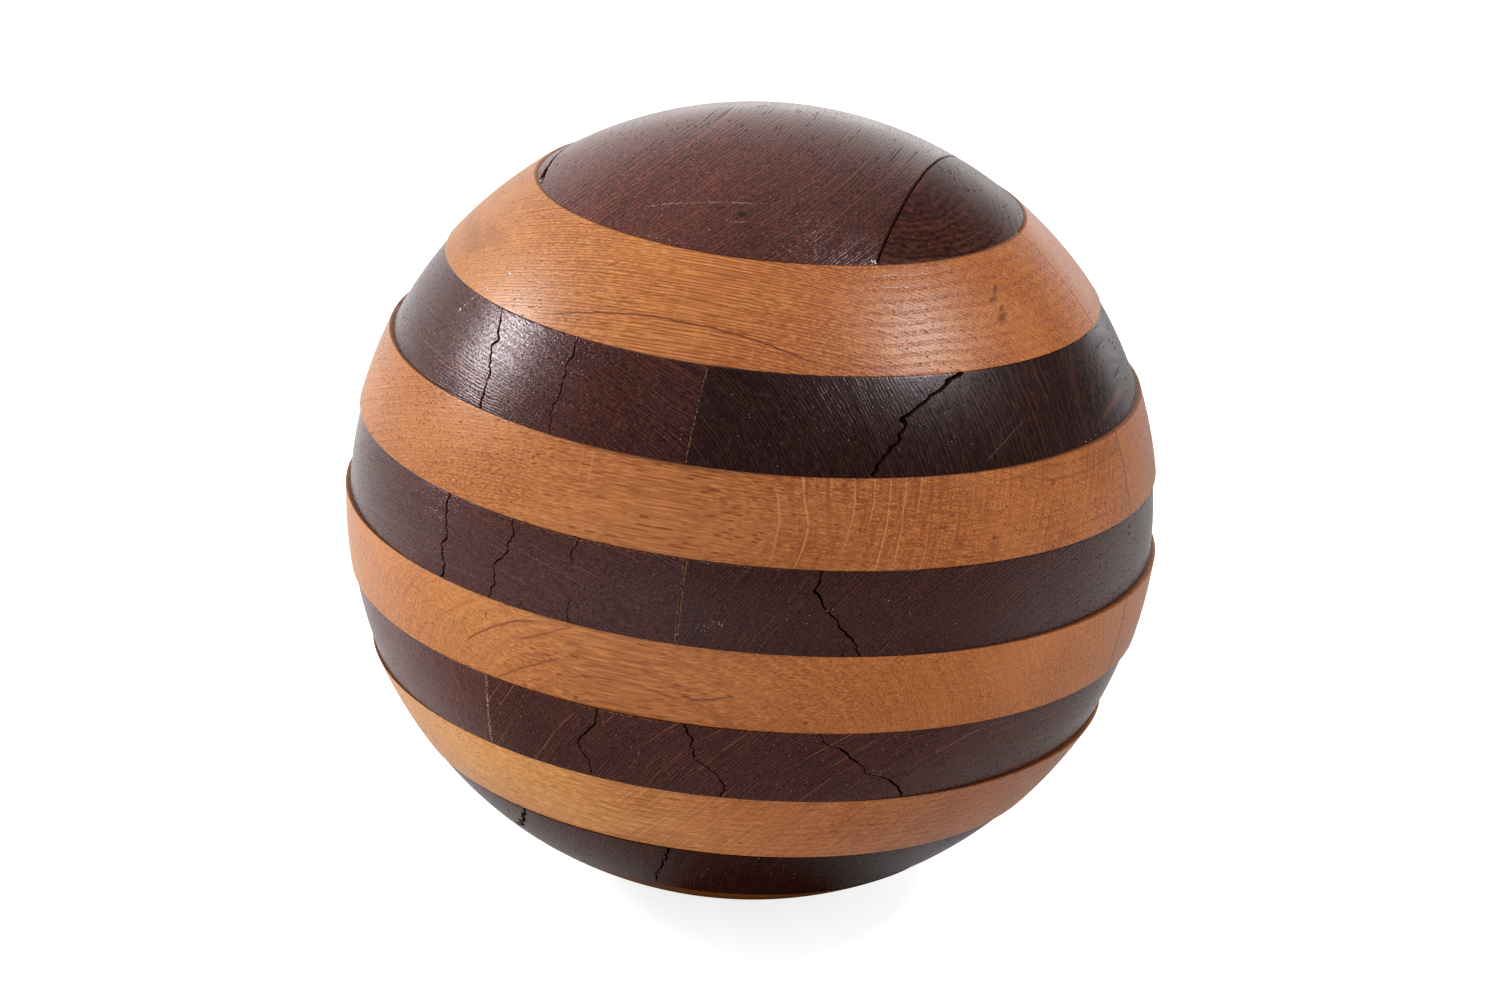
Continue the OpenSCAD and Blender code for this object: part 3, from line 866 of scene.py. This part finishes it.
# The left and right edge of each board of the cap and base. None is the ball's outline
CAP_EDGES = {
    "cap_board_left": (None, lambda y: left_joint(y, -1)),
    "cap_board_middle": (lambda y: left_joint(y, 1), lambda y: right_joint(y, -1)),
    "cap_board_right": (lambda y: right_joint(y, 1), None),
    "base_board": (None, None),
}


def cap_columns(length, left_edge, right_edge):
    """A cap board's columns, as from run(), but closer together towards the outline."""
    if left_edge and right_edge:
        return run(length, 1.0, CAP_EASE, CAP_EASE)
    if left_edge:
        across, falls = run(length, 0.6, CAP_EASE, 0)
        return 1 - (1 - across) ** 1.6, falls
    if right_edge:
        across, falls = run(length, 0.35, 0, CAP_EASE)
        return across**1.6, falls
    across, falls = run(length, 1.0, 0, 0)
    return (1 - np.cos(across * np.pi)) / 2, falls


def dome(node, board, glue_z):
    """The x, y and z of a grid over a cap board's curved face, down to glue_z."""
    half_w, half_d = layer_radii(board.layer)
    left_edge, right_edge = CAP_EDGES[node]
    low, high = box_mm(node)
    spread = math.sqrt(1 - (glue_z / POLE_Z) ** 2)
    rim_w, rim_d = half_w * spread, half_d * spread
    across, fall_x = cap_columns(high[0] - low[0], left_edge, right_edge)
    along, fall_y = run(2 * rim_d, 1.0, EDGE_EASE, EDGE_EASE)
    s, t = np.meshgrid(across, along * 2 - 1, indexing="ij")

    def outline(x):
        return t * rim_d * np.sqrt(np.clip(1 - (x / rim_w) ** 2, 0, 1))

    # x and y depend on each other, so they are found in turns
    x = np.full_like(s, (low[0] + high[0]) / 2)
    for _ in range(12):
        y = outline(x)
        first = left_edge(y) if left_edge else np.full_like(y, -rim_w)
        last = right_edge(y) if right_edge else np.full_like(y, rim_w)
        x = first + (last - first) * s
    y = outline(x)
    z = POLE_Z * np.sqrt(np.clip(1 - (x / half_w) ** 2 - (y / half_d) ** 2, 0, 1))
    z = np.maximum(z - fall_x[:, None] - fall_y[None, :] * 0.5, glue_z)
    z[:, 0] = z[:, -1] = glue_z
    return x, y, z


def cap_mesh(node, board):
    """A board of the cap, or the base, which is the cap's form upside down: a dome over
    a flat face, cut by the cap's two open joints."""
    under = board.layer != 1
    low, high = box_mm(node)
    glue_z = high[2] if under else low[2]
    x, y, z = dome(node, board, abs(glue_z))
    at, faces = grid(*x.shape)
    top = np.stack([x, y, -z if under else z], -1).reshape(-1, 3)
    points, count = [top], len(top)
    feet = [at[0], at[-1]]
    for side, edge in enumerate(CAP_EDGES[node]):
        if edge is None:
            continue
        upper = feet[side]
        foot = top[upper]
        foot[:, 2] = glue_z
        points.append(foot)
        feet[side] = lower = np.arange(count, count + len(foot))
        count += len(foot)
        wall = np.stack([upper[:-1], upper[1:], lower[1:], lower[:-1]], -1)
        faces += (wall if side == 0 else wall[:, ::-1]).tolist()
    faces.append(np.concatenate([feet[0], at[1:-1, -1], feet[1][::-1], at[-2:0:-1, 0]]))
    if under:
        faces = [face[::-1] for face in faces]
    return np.concatenate(points), faces


def make_piece(name, points, faces, material):
    mesh = bpy.data.meshes.new(name)
    mesh.from_pydata((np.asarray(points) * MM).tolist(), [], [list(f) for f in faces])
    shape = bmesh.new()
    shape.from_mesh(mesh)
    bmesh.ops.remove_doubles(shape, verts=shape.verts, dist=FINEST * MM)
    bmesh.ops.dissolve_degenerate(shape, edges=shape.edges, dist=FINEST * MM * 0.1)
    bmesh.ops.recalc_face_normals(shape, faces=shape.faces)
    shape.to_mesh(mesh)
    shape.free()
    mesh.shade_smooth()
    mesh.set_sharp_from_angle(angle=math.radians(50))
    mesh.materials.append(material)
    piece = bpy.data.objects.new(name, mesh)
    scene.collection.objects.link(piece)
    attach(piece, "root")
    return piece


for number, (node, board) in enumerate(BOARDS.items()):
    wood, slot = (dark_wood, "dark_wood") if board.dark else (light_wood, "light_wood")
    material = wood(node, board, seed=number * 7.3 + 2)
    build = cap_mesh if board.layer in (1, 10) else layer_mesh
    points, faces = build(node, board)
    piece = make_piece(node + "_skin", points, faces, material)
    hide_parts(node)


# ---------------- glue, dust and chips


def on_ball(layer, u, v):
    """The point of a layer's surface at a place (u, v), as for a Line, and the way the
    surface faces there, or None off the layer."""
    half_w, half_d = layer_radii(layer)
    other = half_d if layer == 1 else POLE_Z
    left = 1 - (u / half_w) ** 2 - (v / other) ** 2
    if left < 0.01:
        return None
    if layer == 1:
        x, y, z = u, v, POLE_Z * math.sqrt(left)
        low, high = middle_low, middle_high
    else:
        x, y, z = u, -half_d * math.sqrt(left), v
        low, high = box_mm(next(node for node in BOARDS if BOARDS[node].layer == layer))
    if not low[2] + EDGE_EASE < z < high[2]:
        return None
    out = Vector((x / half_w**2, y / half_d**2, z / POLE_Z**2)).normalized()
    return Vector((x, y, z)), out


class Crumbs:
    """Small flat lumps on the ball's surface, gathered into one mesh."""

    def __init__(self, seed):
        self.rng = np.random.default_rng(seed)
        shape = bmesh.new()
        bmesh.ops.create_icosphere(shape, subdivisions=2, radius=1)
        self.lump = np.array([v.co for v in shape.verts])
        self.lump_faces = np.array([[v.index for v in f.verts] for f in shape.faces])
        shape.free()
        self.points, self.faces = [], []

    def lay(self, layer, u, v, size, turn):
        """One lump of size (length, width), its length turned from u by degrees."""
        place = on_ball(layer, u, v)
        if place is None:
            return
        point, out = place
        side = Vector((1, 0, 0)).cross(out).normalized()
        lengthwise = out.cross(side).normalized()
        upward = out.cross(lengthwise)
        angle = math.radians(turn)
        first = lengthwise * math.cos(angle) + upward * math.sin(angle)
        second = out.cross(first)
        jitter = 1 + self.rng.uniform(-0.3, 0.3, (len(self.lump), 1))
        scaled = self.lump * jitter * (size[0] / 2, size[1] / 2, CRUMB_THICK / 2)
        self.faces.append(self.lump_faces + len(self.points) * len(self.lump))
        self.points.append(np.array(point) + scaled @ np.array([first, second, out]))

    def scatter(self, layer, middle, spread, count, size):
        """Lumps strewn round a place, fewer of them further out."""
        for _ in range(count):
            u, v = self.rng.normal(middle, spread)
            length = self.rng.uniform(0.5, 1.2) * size
            angle = self.rng.uniform(0, 180)
            self.lay(layer, u, v, (length, length * self.rng.uniform(0.35, 0.8)), angle)

    def trail(self, layer, points, gap, size, stray, missing):
        """Lumps along a line through points, with some of them missing."""
        points = np.array(points, float)
        legs = np.linalg.norm(np.diff(points, axis=0), axis=1)
        places = np.concatenate([[0], np.cumsum(legs)])
        for place in np.arange(0, places[-1], gap):
            if self.rng.random() < missing:
                continue
            u = np.interp(place, places, points[:, 0]) + self.rng.normal(0, stray)
            v = np.interp(place, places, points[:, 1]) + self.rng.normal(0, stray)
            leg = min(np.searchsorted(places, place, "right") - 1, len(legs) - 1)
            run_u, run_v = points[leg + 1] - points[leg]
            turn = math.degrees(math.atan2(run_v, run_u)) + self.rng.normal(0, 12)
            grow = self.rng.uniform(0.5, 1.3)
            self.lay(layer, u, v, (size[0] * grow, size[1] * grow), turn)

    def piece(self, name, colour, dark_colour):
        shader = Shader(name)
        cloudy = shader.noise(shader.x / 0.5, shader.y / 0.5, shader.z / 0.5, 2)
        mixed = shader.mix(cloudy.rise(0.35, 0.65), shade_of(colour), shade_of(dark_colour))
        material = shader.finish(mixed, cloudy * 0.2 + 0.45, cloudy * 0.02, 0.3)
        points, faces = np.concatenate(self.points), np.concatenate(self.faces)
        make_piece(name, points, faces, material)


def glue_in_the_joints():
    """Old glue in the joints of the dark layers, and squeezed out along their edges."""
    glue = Crumbs(11)
    for layer, rows in ((3, (0.0,)), (5, (-0.26, 0.26)), (7, (-0.26, 0.26))):
        low, high = box_mm(f"layer{layer}_board_left")
        for row in rows:
            points = ((high[0] + row, low[2] + 0.3), (high[0] + row, high[2] - 0.3))
            glue.trail(layer, points, 0.36, (0.5, 0.2), 0.05, 0.25)
    top_5, top_7 = box_mm("layer5_board_left")[1][2], box_mm("layer7_board_left")[1][2]
    glue.trail(5, ((-40, top_5 - 0.22), (32, top_5 - 0.22)), 0.4, (0.42, 0.14), 0.07, 0.45)
    glue.trail(7, ((-11, top_7 - 0.25), (10, top_7 - 0.25)), 0.4, (0.5, 0.18), 0.1, 0.4)
    glue.trail(7, ((-5.5, -21.3), (-5.0, -23.2), (-4.5, -25.6)), 0.4, (0.5, 0.22), 0.15, 0.35)
    glue.piece("old_glue", (0.3, 0.14, 0.05), (0.11, 0.05, 0.02))


def dust_on_the_boards():
    """Pale specks, and pale dust in scratches and dents."""
    dust = Crumbs(12)
    dust.trail(1, ((-20, -47.7), (-7, -46.5), (7.5, -43.6)), 0.55, (0.8, 0.16), 0.1, 0.35)
    dust.trail(1, ((1, -50.8), (5, -49.8)), 0.5, (0.45, 0.11), 0.08, 0.4)
    dust.trail(1, ((-22.7, -54.0), (-15, -56.2), (-7, -57.9)), 0.5, (0.4, 0.18), 0.2, 0.5)
    dust.scatter(1, (17.0, -53.6), (1.2, 1.2), 14, 0.4)
    dust.scatter(1, (-10, -28), (20, 14), 90, 0.32)
    dust.scatter(1, (-51.5, -27.6), (0.5, 1.2), 12, 0.55)
    dust.trail(5, ((16.3, 4.2), (21.6, 5.6)), 0.14, (0.32, 0.1), 0.55, 0.2)
    dust.trail(7, ((3.0, -23.4), (3.3, -27), (3.6, -31.1)), 0.45, (0.4, 0.12), 0.15, 0.45)
    dust.trail(7, ((-35.7, -21.0), (-35.4, -40.2)), 0.34, (0.6, 0.26), 0.1, 0.15)
    for layer, middle in ((3, 49), (5, 9), (7, -31), (9, -69)):
        for u in np.linspace(-45, 60, 8):
            dust.scatter(layer, (u, middle), (7, 4), 9, 0.26)
    dust.piece("pale_dust", (0.46, 0.36, 0.31), (0.24, 0.16, 0.13))


def chips_off_the_edges():
    """White spots where corners and edges are chipped."""
    chips = Crumbs(13)
    chips.scatter(1, (35.4, -46.5), (0.25, 0.3), 5, 0.9)
    chips.scatter(1, (-52.6, -25.6), (0.2, 0.7), 4, 0.6)
    chips.scatter(2, (-48.4, 65.3), (0.2, 0.2), 3, 0.6)
    chips.scatter(2, (-53.8, 61.0), (0.2, 0.2), 3, 0.5)
    chips.trail(3, ((-55.9, 59.1), (-59.8, 54.8), (-60.8, 53.2)), 0.4, (0.5, 0.14), 0.06, 0.1)
    chips.scatter(3, (-59.8, 54.8), (0.15, 0.15), 3, 0.6)
    chips.scatter(3, (88.0, 40.0), (1.0, 0.3), 4, 0.35)
    chips.piece("white_chips", (0.74, 0.68, 0.62), (0.55, 0.46, 0.38))


glue_in_the_joints()
dust_on_the_boards()
chips_off_the_edges()


# ---------------- camera and studio

# The camera's place, its lens in millimetres, and its roll and shift. It aims at the
# ball's centre
CAMERA_PLACE = Vector((0.2383, -0.9231, 0.3424))
CAMERA_LENS, CAMERA_ROLL, CAMERA_SHIFT = 98.14, math.radians(5.43), -0.0012
FLOOR_R, LAMP_DISTANCE = 4.0, 1.3
WHITE = (1, 1, 1, 1)

camera = bpy.data.cameras.new("camera")
camera.lens, camera.sensor_width, camera.shift_x = CAMERA_LENS, 36, CAMERA_SHIFT
camera.clip_start, camera.clip_end = 0.05, 50
viewer = bpy.data.objects.new("camera", camera)
viewer.rotation_mode = "QUATERNION"
viewer.location = CAMERA_PLACE
aim = (-CAMERA_PLACE).to_track_quat("-Z", "Y")
viewer.rotation_quaternion = aim @ Matrix.Rotation(CAMERA_ROLL, 4, "Z").to_quaternion()
scene.collection.objects.link(viewer)
scene.camera = viewer


def light_path(tree):
    """Whether a surface is seen by the camera, mirrored, or seen through something."""
    path = add_node(tree, "LightPath")
    names = "Is Camera Ray", "Is Glossy Ray", "Is Transmission Ray"
    return [Value(path.outputs[name]) for name in names]


def floor_material():
    """A white floor, with painted shade and light where the ball mirrors it: in reflections only,
    a painted shadow dims it at the front near the ball's foot and at the far left, and a painted
    glow makes it brighter behind to the right and along the left. Its colour is also darker to the
    right, a painted shadow that lessens the light it bounces onto the ball."""
    material = bpy.data.materials.new("floor")
    material.use_nodes = True
    tree = material.node_tree
    seen, gloss, through = light_path(tree)
    place = Value(add_node(tree, "TexCoord").outputs["Object"])
    far = add_node(tree, "VectorMath", (place,), operation="LENGTH")
    near = Value(far.outputs["Value"]).rise(0.6, 0.15)
    right, back, _ = place.axes()
    # Painted shadow, seen only in reflections: round the ball's foot at the front, and at the far
    # left
    painted_foot_shadow = back.rise(-0.03, -0.1) * near * 0.8
    dim_left = right.rise(-0.25, -0.45) * back.rise(0.42, 0.2) * 0.55
    mirrored = (gloss * painted_foot_shadow.most(dim_left)).inverse()
    # Painted glow, seen only in reflections
    painted_glow = right.rise(0.12, 0.28) * back.rise(-0.2, 0.08) * 0.3
    painted_glow = painted_glow.most(right.rise(0.05, -0.3) * near.inverse() * 0.36)
    shown = seen.most(through) * 0.8 + gloss * painted_glow * mirrored
    # Painted shadow on the right of the floor's colour, which lessens the light it bounces onto
    # the ball
    painted_right_shadow = right.rise(0.0, 0.2) * -0.55 + 1
    inputs = {
        "Base Color": mirrored * painted_right_shadow * 0.7, "Roughness": 0.8, "Specular IOR Level": 0.1,
        "Emission Color": WHITE, "Emission Strength": shown,
    }
    fill(tree.nodes["Principled BSDF"], inputs)
    return material


def make_floor():
    mesh = bpy.data.meshes.new("floor")
    shape = bmesh.new()
    bmesh.ops.create_circle(shape, cap_ends=True, segments=96, radius=FLOOR_R)
    shape.to_mesh(mesh)
    shape.free()
    mesh.materials.append(floor_material())
    floor = bpy.data.objects.new("floor", mesh)
    floor.location.z = cad_box[0].z
    scene.collection.objects.link(floor)


def make_world():
    """A white room with soft light from all sides, a little less from the right. As the
    ball mirrors it, it is dim towards the photographer, at the right, at the far left
    and above, and glows behind the ball."""
    world = bpy.data.worlds.new("studio")
    world.use_nodes = True
    scene.world = world
    tree = world.node_tree
    seen, gloss, through = light_path(tree)
    place = Value(add_node(tree, "TexCoord").outputs["Generated"])
    photographer = Vector((CAMERA_PLACE.x, CAMERA_PLACE.y, 0)).normalized()
    towards = add_node(tree, "VectorMath", (place, photographer), operation="DOT_PRODUCT")
    dim = Value(towards.outputs["Value"]).rise(-0.45, 0.45) * 0.96
    right, back, up = place.axes()
    dim_right = right.rise(0.0, 0.3) * back.rise(0.97, 0.85) * up.rise(-0.3, 0.0) * 0.92
    dim_above = up.rise(0.3, 0.7) * 0.64
    dim_left = right.rise(-0.7, -0.95) * 0.5
    glow = back.rise(0.86, 0.97) * up.rise(0.25, 0.05) * 0.9 + 1
    mirrored = dim.inverse() * dim_right.inverse() * dim_above.inverse() * dim_left.inverse()
    mirrored = mirrored * glow
    shown = seen.most(through)
    soft = shown.most(gloss).inverse()
    strength = shown + gloss * mirrored + soft * (right.rise(-0.1, 0.8) * -0.37 + 1.0)
    fill(tree.nodes["Background"], {"Color": WHITE, "Strength": strength})


def add_softbox(name, azimuth, elevation, size, radiance):
    """A rectangular lamp that faces the ball from two angles in degrees."""
    lamp = bpy.data.lights.new(name, "AREA")
    lamp.shape = "RECTANGLE"
    lamp.size, lamp.size_y = size
    lamp.energy = radiance * math.pi * size[0] * size[1]
    turn, lift = math.radians(azimuth), math.radians(elevation)
    flat = math.cos(lift)
    away = Vector((math.cos(turn) * flat, math.sin(turn) * flat, math.sin(lift)))
    softbox = bpy.data.objects.new(name, lamp)
    softbox.location = away * LAMP_DISTANCE
    softbox.rotation_mode = "QUATERNION"
    softbox.rotation_quaternion = away.to_track_quat("Z", "Y")
    scene.collection.objects.link(softbox)


make_floor()
make_world()
add_softbox("softbox_left", -174, 27, (0.31, 0.31), 31)
add_softbox("softbox_right", 0, 53, (0.23, 0.28), 40)

scene.view_settings.view_transform = "Standard"
